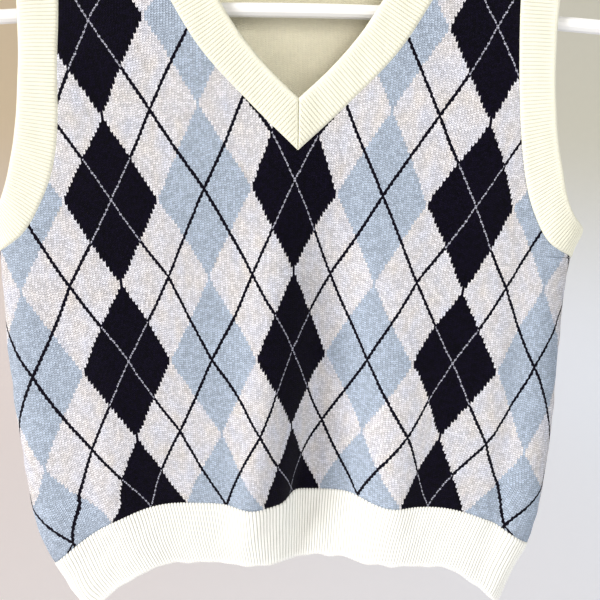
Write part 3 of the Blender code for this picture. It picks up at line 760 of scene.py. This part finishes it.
def square_to_seam(xs, zs, xe, ze, path):
    """Free ends of ribs that stand square on the V's seam and stop at its middle."""
    tangent = unit(np.stack([np.gradient(xs), np.gradient(zs)], -1))
    inward = np.stack([-tangent[:, 1], tangent[:, 0]], -1)
    side = np.sign(xs[len(xs) // 2])
    inward = inward * np.where(inward[:, :1] * side > 0.0, -1.0, 1.0)
    pair = unit(np.stack([xe - xs, ze - zs], -1))
    height = np.arange(len(xs)) / len(xs)
    lean_from, lean_over = MITRE_LEAN
    blend = smooth((height - lean_from) / lean_over)[:, None]
    inward = unit(inward * (1.0 - blend) + pair * blend)
    reach = np.empty(len(xs))
    edge_x, edge_z = path[2], path[3]
    for k in range(len(xs)):
        off_x, off_z = edge_x - xs[k], edge_z - zs[k]
        across = off_x * inward[k, 0] + off_z * inward[k, 1]
        along = off_x * -inward[k, 1] + off_z * inward[k, 0]
        order = np.argsort(along)
        reach[k] = np.interp(0.0, along[order], across[order])
    to_middle = np.abs(xs) / np.maximum(1e-9, -inward[:, 0] * side)
    cut = to_middle < reach
    reach = np.where(cut, np.maximum(to_middle - 0.5 * SEAM_GAP, 0.0), reach)
    blend = blend[:, 0]
    x, z = xs + inward[:, 0] * reach, zs + inward[:, 1] * reach
    return x * (1 - blend) + xe * blend, z * (1 - blend) + ze * blend, cut


def band_grid(cloth, face, side, ends, phase, cut):
    """Adds one run of ribbed band. cut marks the ribs that end at the mitre."""
    xs, zs, xe, ze = [a[None, :] for a in ends]
    s = crowded(BAND_ROWS, BAND_CROWD)
    ps, pe = unrolled(side, xs, zs), unrolled(side, xe, ze)
    z = zs + (ze - zs) * s
    x = rolled(side, ps + (pe - ps) * s, z)
    x[0], x[-1] = ends[0], ends[2]
    if ends[1][0] < UNDERARM:
        x[:, 0] = sign_of(side) * outline(side, z[:, 0])
    point, normal = on_cloth(face, x, z)
    run = running(point)
    from_edge = run[-1:] - run
    radius = np.where(cut, MITRE_ROUND, EDGE_ROUND)[None, :]
    fade_over = np.where(cut, MITRE_FADE[side], EDGE_FADE)[None, :]
    strength = smooth((from_edge - 0.4 * radius) / fade_over) * smooth((run + 0.0002) / 0.0020)
    wave, back_wave = rib_wave(phase)[None, :], rib_wave(phase + 0.5)[None, :]
    full = edge_profile(from_edge, radius) * (0.60 + 0.40 * smooth(run / 0.0016))
    sway = uneven(x, z, *WAVES["band"]) * smooth(run / 0.004)
    point = point + normal * sway[..., None]
    out, back = ribbed(full, RIB_HEIGHT * strength, RIB_SINK, wave, back_wave)
    # painted shade: how far each place is darkened, in the grooves and in a thin strip along the seam
    groove_shade = np.maximum(strength * (1.0 - wave), 0.30 * bell(run / 0.0007))
    coords = np.stack([np.broadcast_to(phase, x.shape), run / RIB_COURSE, groove_shade], -1)
    cloth.add(point, normal, out, back, coords)
    return point[0], normal[0]


def seam_chain(name, runs, finish):
    """The chain of linked loops along a seam, a beaded tube over its points."""
    parts, faces, base = [], [], 0
    for point, normal in runs:
        run = running(point)
        n = int(run[-1] / SEAM_LOOP * 4)
        at = np.linspace(0.0, run[-1], n)
        path = np.stack([np.interp(at, run, point[:, k]) for k in range(3)], -1)
        up = unit(np.stack([np.interp(at, run, normal[:, k]) for k in range(3)], -1))
        along = unit(np.gradient(path, axis=0))
        across = unit(np.cross(along, up))
        radius = SEAM_TUBE * (0.90 + 0.12 * np.abs(np.sin(math.pi * at / SEAM_LOOP)))
        centre = path + up * CHAIN_LIFT
        rings = []
        for k in range(CHAIN_SIDES):
            a = 2.0 * math.pi * k / CHAIN_SIDES
            rings.append(centre + (across * math.cos(a) + up * math.sin(a)) * radius[:, None])
        parts.append(np.stack(rings, 1).reshape(-1, 3))
        end = base + n * CHAIN_SIDES
        faces += ring_faces(n, CHAIN_SIDES, base)
        faces.append(list(range(base, base + CHAIN_SIDES)))
        faces.append(list(reversed(range(end - CHAIN_SIDES, end))))
        base = end
    verts = np.concatenate(parts)
    made = mesh_object(name, verts, faces, finish)
    coords = made.data.attributes.new("cloth", "FLOAT_VECTOR", "POINT")
    coords.data.foreach_set("vector", (verts / SEAM_LOOP).reshape(-1))
    return made


def armhole_band(name, side, finish):
    cloth = Cloth()
    runs = []
    for face in ("front", "back"):
        ends, phase = stations(face, half_path(armhole_line, side, backwards=True))
        runs.append(band_grid(cloth, face, side, ends, phase, np.zeros(len(phase), bool)))
    return cloth.build(name, finish), runs


def neck_band(name, finish):
    cloth = Cloth()
    runs = []
    for side in SIDES:
        path = half_path(v_line, side)
        ends, phase = stations("front", path)
        xe, ze, cut = square_to_seam(*ends, path)
        ends = [ends[0], ends[1], xe, ze]
        runs.append(band_grid(cloth, "front", side, ends, phase + 0.5, cut))
        ends, phase = stations("back", half_path(back_neck_line, side))
        runs.append(band_grid(cloth, "back", side, ends, phase + 0.5, np.zeros(len(phase), bool)))
    return cloth.build(name, finish), runs


def hem_rib(name, face, finish):
    cloth = Cloth()
    s = np.linspace(0.0, 1.0, HEM_RIBS * SAMPLES_PER_RIB + 1)[None, :]
    down = crowded(HEM_ROWS, HEM_CROWD)
    wave, back_wave = rib_wave(s * HEM_RIBS + 0.5), rib_wave(s * HEM_RIBS)
    for side in SIDES:
        top, foot = corner_height(side, "seam"), corner_height(side, "foot")
        corner = top + (foot - top) * down
        reach = unrolled(side, outline(side, corner), corner)
        z = np.full((len(down), s.size), SEAM_MIDDLE)
        for _ in range(GRID_ROUNDS):
            x = rolled(side, reach * s, z)
            low = hem_height(side, x, "seam") * (1.0 - down) + hem_height(side, x, "foot") * down
            z = 0.5 * z + 0.5 * low
        z[:, -1:] = corner
        x[:, -1:] = sign_of(side) * outline(side, corner)
        x[:, 0] = 0.0
        point, normal = on_cloth(face, x, z)
        run = running(point)
        from_edge = run[-1:] - run
        strength = smooth((from_edge + 0.0008) / 0.0070)
        full = edge_profile(from_edge, EDGE_ROUND) * edge_profile(run + 0.0006, 0.0016)
        sway = uneven(x, z, *WAVES["hem"]) * smooth(run / 0.004) * smooth(from_edge / 0.004)
        tooth = bell(run / 0.0010) * (wave - 0.35) * HEM_TOOTH
        scallop = bell(from_edge / 0.0016) * (wave - 0.5) * HEM_SCALLOP
        sags = uneven(x, 0.0 * x, *WAVES["foot"]) * smooth(run / 0.02)
        point = point + normal * sway[..., None]
        point[..., 2] += tooth + scallop + sags
        out, back = ribbed(full, HEM_RIB_HEIGHT * strength, HEM_RIB_SINK, wave, back_wave)
        # painted shade: how far each place in the grooves is darkened
        groove_shade = strength * (1.0 - wave)
        coords = np.stack([np.broadcast_to(s * HEM_RIBS, x.shape), run / RIB_COURSE, groove_shade], -1)
        cloth.add(point, normal, out, back, coords)
    return cloth.build(name, finish)


# ---------- materials
class Shading:
    """A material's node tree, with short ways to add to it."""

    def __init__(self, name):
        self.made = bpy.data.materials.new(name)
        self.made.use_nodes = True
        self.tree = self.made.node_tree
        self.shader = self.tree.nodes["Principled BSDF"]

    def put(self, socket, value):
        if isinstance(value, bpy.types.NodeSocket):
            self.tree.links.new(value, socket)
        else:
            socket.default_value = value

    def node(self, kind, inputs=(), **settings):
        """A new node with its inputs, by name or number, and its settings."""
        made = self.tree.nodes.new(kind)
        for name, value in settings.items():
            setattr(made, name, value)
        for name, value in dict(inputs).items():
            self.put(made.inputs[name], value)
        return made

    def maths(self, operation, *values):
        return self.node("ShaderNodeMath", enumerate(values), operation=operation).outputs[0]

    def times(self, a, b):
        return self.maths("MULTIPLY", a, b)

    def plus(self, a, b):
        return self.maths("ADD", a, b)

    def minus(self, a, b):
        return self.maths("SUBTRACT", a, b)

    def vector(self, x, y):
        return self.node("ShaderNodeCombineXYZ", enumerate((x, y))).outputs[0]

    def split(self, vector):
        return list(self.node("ShaderNodeSeparateXYZ", {0: vector}).outputs)

    def mix(self, share, a, b):
        """From colour a to b; sockets 6 and 7 are the node's two colours, and 2 its result."""
        inputs = {"Factor": share, 6: a, 7: b}
        return self.node("ShaderNodeMix", inputs, data_type="RGBA").outputs[2]

    def lighten(self, colour, factor):
        """The colour times a number."""
        inputs = {0: colour[:3] if isinstance(colour, tuple) else colour, "Scale": factor}
        return self.node("ShaderNodeVectorMath", inputs, operation="SCALE").outputs[0]

    def between(self, value, low, high):
        """Maps 0..1 to low..high."""
        return self.maths("MULTIPLY_ADD", value, high - low, low)

    def noise(self, place, scale, detail):
        inputs = dict(Vector=place, Scale=scale, Detail=detail)
        return self.node("ShaderNodeTexNoise", inputs, noise_dimensions="3D").outputs["Fac"]

    def speck(self, x, y):
        """A number from 0 to 1 for each stitch."""
        inputs = dict(Vector=self.vector(x, y))
        return self.node("ShaderNodeTexWhiteNoise", inputs, noise_dimensions="2D").outputs["Value"]

    def knit_place(self):
        attribute = self.node("ShaderNodeAttribute", attribute_name="cloth")
        return self.split(attribute.outputs["Vector"])

    def bump(self, height, distance):
        made = self.node("ShaderNodeBump", dict(Height=height, Distance=distance))
        self.put(self.shader.inputs["Normal"], made.outputs["Normal"])

    def finish(self, colour, roughness, sheen=0.0, sheen_roughness=0.5, specular=0.5):
        names = ("Base Color", "Roughness", "Sheen Weight", "Sheen Roughness", "Specular IOR Level")
        for name, value in zip(names, (colour, roughness, sheen, sheen_roughness, specular)):
            self.put(self.shader.inputs[name], value)
        return self.made


def colour(red, green, blue):
    """An sRGB colour of 0..255 as linear light."""
    out = []
    for c in (red, green, blue):
        c /= 255.0
        out.append(c / 12.92 if c <= 0.04045 else ((c + 0.055) / 1.055) ** 2.4)
    return (*out, 1.0)


def slanted(s, across, down, slant):
    """Row, place in it and distance off the middle, in columns of V-shaped stitches."""
    off = s.maths("ABSOLUTE", s.minus(s.maths("FRACT", across), 0.5))
    down = s.maths("MULTIPLY_ADD", off, slant, down)
    return s.maths("FLOOR", down), s.maths("FRACT", down), off


def stitches(s, su, sv):
    """Column, row, relief and the gap beside each column of V-shaped stitches."""
    column = s.maths("FLOOR", su)
    row, fy, off = slanted(s, su, s.plus(sv, s.speck(column, 0.0)), LEG_SLANT)
    leg = s.maths("SINE", s.times(off, 2.0 * math.pi))
    leg = s.maths("POWER", s.maths("MAXIMUM", leg, 0.0), 0.6)
    along = s.maths("SINE", s.times(fy, math.pi))
    along = s.maths("POWER", s.maths("MAXIMUM", along, 0.0), 0.7)
    gap = s.maths("POWER", s.times(off, 2.0), 3.0)
    return column, row, s.times(leg, along), gap


def argyle_material():
    s = Shading("argyle_knit_fine")
    u, v, _ = s.knit_place()
    su = s.maths("MULTIPLY_ADD", u, STITCHES_PER_QUARTER, 0.5)
    sv = s.times(v, ROWS_PER_HALF)
    column, row, relief_height, gap = stitches(s, su, sv)
    whole_u = s.maths("DIVIDE", column, STITCHES_PER_QUARTER)
    whole_v = s.maths("DIVIDE", s.minus(row, 0.3), ROWS_PER_HALF)

    def diagonals(stepped):
        """Both diagonal places, partly kept to whole stitches."""
        mid_u = s.maths("MULTIPLY_ADD", s.minus(whole_u, u), stepped, u)
        mid_v = s.maths("MULTIPLY_ADD", s.minus(whole_v, v), stepped, v)
        return s.plus(mid_u, mid_v), s.minus(mid_u, mid_v)

    a, b = diagonals(CELL_STEPS)
    line_a, line_b = diagonals(LINE_STEPS)
    i = s.maths("FLOOR", s.maths("MULTIPLY_ADD", a, 0.5, 0.5))
    j = s.maths("FLOOR", s.maths("MULTIPLY_ADD", b, 0.5, 0.5))
    kind = s.maths("FLOORED_MODULO", s.plus(i, j), 4.0)
    navy_at = s.maths("COMPARE", kind, 0.0, 0.25)
    blue_at = s.maths("COMPARE", kind, 2.0, 0.25)

    def on_line(place, index, width):
        off = s.minus(place, s.times(index, 2.0))
        off = s.times(s.maths("ABSOLUTE", off), STITCHES_PER_QUARTER)
        return s.maths("LESS_THAN", off, width)

    line = s.maths("MAXIMUM", on_line(line_a, i, LINE_WIDTH), on_line(line_b, j, LINE_WIDTH))
    thread = s.maths("MAXIMUM", on_line(line_a, i, THREAD_WIDTH), on_line(line_b, j, THREAD_WIDTH))
    beat = s.maths("LESS_THAN", s.maths("FRACT", sv), DASH)
    dash = s.times(thread, s.between(beat, 0.35, 1.0))

    speck = s.speck(column, row)
    streak = s.noise(s.vector(s.times(su, 0.7), s.times(sv, 0.6)), 1.0, 3.0)
    broad = s.noise(s.vector(u, v), 2.2, 2.0)
    marl = s.plus(s.between(speck, -0.17, 0.17), s.between(streak, -0.08, 0.08))
    marl = s.plus(marl, s.between(broad, -0.04, 0.04))

    cool = s.between(s.noise(s.vector(u, v), 3.1, 1.0), -0.5, 1.5)
    ground = s.mix(cool, colour(*GROUND), colour(*GROUND_COOL))
    ground = s.lighten(ground, s.plus(marl, 1.0))
    blue = s.lighten(colour(*BLUE), s.plus(s.times(marl, 1.1), 1.0))
    navy = s.lighten(colour(*NAVY), s.plus(s.times(marl, 3.2), 1.0))
    pale = s.mix(blue_at, ground, blue)
    pale = s.mix(line, pale, colour(*DARK_LINE))
    deep = s.mix(dash, navy, colour(*LIGHT_THREAD))
    whole = s.mix(navy_at, pale, deep)
    # painted shade between the stitches' legs and in the gaps between wales
    painted_stitch_shade = s.times(s.between(relief_height, 0.46, 1.26), s.between(gap, 1.05, 0.72))
    whole = s.lighten(whole, painted_stitch_shade)
    s.bump(relief_height, 0.00045)
    return s.finish(whole, s.between(speck, 0.86, 0.98), sheen=0.02, sheen_roughness=0.35, specular=0.08)


def cream_knit_material():
    s = Shading("cream_knit_fine")
    u, v, _ = s.knit_place()
    su = s.times(u, STITCHES_PER_QUARTER)
    sv = s.times(v, ROWS_PER_HALF)
    column, row, relief_height, _ = stitches(s, su, sv)
    speck = s.speck(column, row)
    broad = s.noise(s.vector(u, v), 1.6, 3.0)
    whole = s.mix(broad, colour(*CREAM), colour(*CREAM_LIT))
    # painted shade between the stitches' legs, times a random tone for each stitch
    factor = s.times(s.between(relief_height, 0.86, 1.03), s.between(speck, 0.97, 1.03))
    whole = s.lighten(whole, factor)
    s.bump(relief_height, 0.00035)
    rough = s.between(speck, 0.86, 0.98)
    return s.finish(whole, rough, sheen=0.12, sheen_roughness=0.4, specular=0.2)


def rib_material(name, shaded, lit, groove_shade, depth):
    """Ribbing that runs between two close colours; its grooves get painted shade, darker and tinted."""
    s = Shading(name)
    rib, course, groove_shade_amount = s.knit_place()
    row, fy, _ = slanted(s, rib, course, RIB_SLANT)
    loop = s.maths("POWER", s.maths("SINE", s.times(fy, math.pi)), 0.5)
    speck = s.speck(s.maths("FLOOR", rib), row)
    broad = s.noise(s.vector(s.times(rib, 0.06), s.times(course, 0.06)), 1.0, 2.0)
    whole = s.mix(broad, colour(*shaded), colour(*lit))
    # painted shade in the grooves
    whole = s.mix(s.times(groove_shade_amount, depth), whole, colour(*groove_shade))
    # painted shade between the loops of each row, times a random tone for each stitch
    factor = s.times(s.between(speck, 0.985, 1.015), s.between(loop, 0.93, 1.01))
    whole = s.lighten(whole, factor)
    s.bump(loop, 0.00012)
    rough = s.between(speck, 0.88, 0.98)
    return s.finish(whole, rough, sheen=0.06, sheen_roughness=0.4, specular=0.2)


def plastic_material():
    s = Shading("white_plastic_fine")
    place = s.node("ShaderNodeTexCoord").outputs["Object"]
    fine = s.noise(place, 900.0, 2.0)
    broad = s.noise(place, 14.0, 3.0)
    whole = s.mix(broad, colour(*PLASTIC), colour(*PLASTIC_LIT))
    s.bump(fine, 0.00002)
    made = s.finish(whole, s.between(broad, 0.24, 0.36))
    s.put(s.shader.inputs["Coat Weight"], 0.15)
    return made


def stage_material():
    """Pale paper painted with the room's light: warm high on the left, greyer on the right, cool towards
    the floor, and glowing.
    """
    s = Shading("sweep_paper")
    place = s.node("ShaderNodeTexCoord").outputs["Object"]
    x, _, z = s.split(place)

    def ramp(value, low, high):
        inputs = {"Value": value, "From Min": low, "From Max": high}
        return s.node("ShaderNodeMapRange", inputs, interpolation_type="SMOOTHSTEP").outputs[0]

    rightness, height = ramp(x, -1.2, 1.2), ramp(z, -0.98, 0.02)
    grain = s.noise(place, 40.0, 3.0)
    high = s.mix(rightness, colour(*WALL_LEFT), colour(*WALL_RIGHT))
    low = s.mix(rightness, colour(*FLOOR_LEFT), colour(*FLOOR_RIGHT))
    whole = s.lighten(s.mix(height, low, high), s.between(grain, 0.985, 1.015))
    # painted light: the paper glows in these colours
    s.put(s.shader.inputs["Emission Color"], whole)
    s.put(s.shader.inputs["Emission Strength"], PAINTED_PAPER_GLOW)
    return s.finish(whole, s.between(grain, 0.88, 0.96), specular=0.1)


# ---------- stage, light and camera
def sweep(finish):
    """A floor that curves up into a wall all round, open at the top."""
    floor_z, radius, bend, top, turns = -0.95, 2.4, 0.9, 1.6, 96
    profile = [((radius - bend) * (k + 1) / 10.0, floor_z) for k in range(9)]
    for k in range(13):
        a = 0.5 * math.pi * k / 12.0
        profile.append((radius - bend + bend * math.sin(a), floor_z + bend * (1.0 - math.cos(a))))
    profile.append((radius, top))
    verts = [(0.0, 0.0, floor_z)]
    for r, z in profile:
        for k in range(turns):
            a = 2.0 * math.pi * k / turns
            verts.append((r * math.cos(a), r * math.sin(a), z))
    faces = [[0, 1 + k, 1 + (k + 1) % turns] for k in range(turns)]
    return mesh_object("sweep", np.array(verts), faces + ring_faces(len(profile), turns, 1), finish)


def lamp(name, kind, power, tint, direction):
    """A light that shines against a direction."""
    data = bpy.data.lights.new(name, kind)
    data.energy = power
    data.color = tint
    made = linked(name, data)
    made.rotation_euler = direction.to_track_quat("Z", "Y").to_euler()
    return made


def area_light(name, place, aim, size, power, tint):
    made = lamp(name, "AREA", power, tint, Vector(place) - Vector(aim))
    made.data.shape = "DISK"
    made.data.size = size
    made.location = place
    made.visible_camera = False


def window_light(name, towards, spread, power, tint, pieces):
    """Even light on the pieces from a broad window far off in a direction."""
    made = lamp(name, "SUN", power, tint, Vector(towards))
    made.data.angle = math.radians(spread)
    group = bpy.data.collections.new(name + "_lights")
    for piece in pieces:
        group.objects.link(piece)
    made.light_linking.receiver_collection = group


def camera():
    pitch, roll, place = math.radians(11.0), math.radians(1.0), (0.0035, -0.467, -0.273)
    forward = Vector((0.0, math.cos(pitch), -math.sin(pitch)))
    up = Vector((0.0, math.sin(pitch), math.cos(pitch)))
    right = Vector((1.0, 0.0, 0.0))
    tilted_right = right * math.cos(roll) + up * math.sin(roll)
    tilted_up = up * math.cos(roll) - right * math.sin(roll)
    data = bpy.data.cameras.new("camera")
    data.lens = 36.0
    data.sensor_width = 36.0
    data.clip_start = 0.02
    data.clip_end = 20.0
    made = linked("camera", data)
    turn = Matrix((tilted_right, tilted_up, -forward)).transposed()
    made.matrix_world = Matrix.Translation(place) @ turn.to_4x4()
    bpy.context.scene.camera = made


def world():
    made = bpy.data.worlds.new("soft_sky")
    made.use_nodes = True
    back = made.node_tree.nodes["Background"]
    back.inputs["Color"].default_value = (0.95, 0.96, 1.0, 1.0)
    back.inputs["Strength"].default_value = 0.30
    bpy.context.scene.world = made


# ---------- the vest
argyle = argyle_material()
cream = cream_knit_material()
rib = rib_material("cream_rib_fine", **NECK_RIB)
arm_rib = rib_material("armhole_rib_fine", **ARM_RIB)
hem_rib_look = rib_material("hem_rib_fine", **HEM_RIB)
plastic = plastic_material()

front = panel("front_knit", "front", argyle)
back = panel("back_knit", "back", cream)
neck, neck_runs = neck_band("neck_rib", rib)
arm_left, left_runs = armhole_band("armhole_rib_left", "left", arm_rib)
arm_right, right_runs = armhole_band("armhole_rib_right", "right", arm_rib)
hem_front = hem_rib("hem_ribbing_front", "front", hem_rib_look)
hem_back = hem_rib("hem_ribbing_back", "back", hem_rib_look)
neck_chain = seam_chain("neck_seam_chain", neck_runs, rib)
left_chain = seam_chain("armhole_seam_chain_left", left_runs, arm_rib)
right_chain = seam_chain("armhole_seam_chain_right", right_runs, arm_rib)
frame["nodes"]["hanger"].data.materials.clear()
frame["nodes"]["hanger"].data.materials.append(plastic)

PIECES = [
    (front, "front_panel", "argyle_knit"),
    (back, "back_panel", "cream_knit"),
    (neck, "neckband", "cream_rib"),
    (arm_left, "armhole_band_left", "cream_rib"),
    (arm_right, "armhole_band_right", "cream_rib"),
    (hem_front, "hem_rib_front", "cream_rib"),
    (hem_back, "hem_rib_back", "cream_rib"),
    (neck_chain, None, "cream_rib"),
    (left_chain, None, "cream_rib"),
    (right_chain, None, "cream_rib"),
]
for piece, node, slot in PIECES:
    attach(piece, "root")
    if node:
        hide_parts(node)

# ---------- stage
backdrop = sweep(stage_material())
backdrop.visible_shadow = False
lit = [piece for piece, _, _ in PIECES] + [frame["nodes"]["hanger"]]
window_light("window", (-1.00, -0.55, 0.40), 18.0, 3.00, (1.0, 0.99, 0.98), lit)
window_light("second_window", (0.62, -0.80, 0.50), 14.0, 0.9, (1.0, 0.99, 0.96), [back])
window_light("low_window", (0.80, -0.62, -0.12), 20.0, 0.42, (1.0, 1.0, 1.0), [hem_front])
area_light("floor_bounce", (-0.55, -0.95, -0.95), (0.0, 0.0, -0.50), 0.6, 2.0, (0.88, 0.94, 1.0))
area_light("fill", (0.90, -1.50, -0.05), (0.0, 0.0, -0.35), 1.4, 3.0, (0.95, 0.97, 1.0))
area_light("front", (-0.10, -1.50, 0.28), (0.0, 0.0, -0.20), 0.9, 3.3, (1.0, 0.98, 0.96))
world()
camera()
bpy.context.scene.view_settings.view_transform = "Standard"
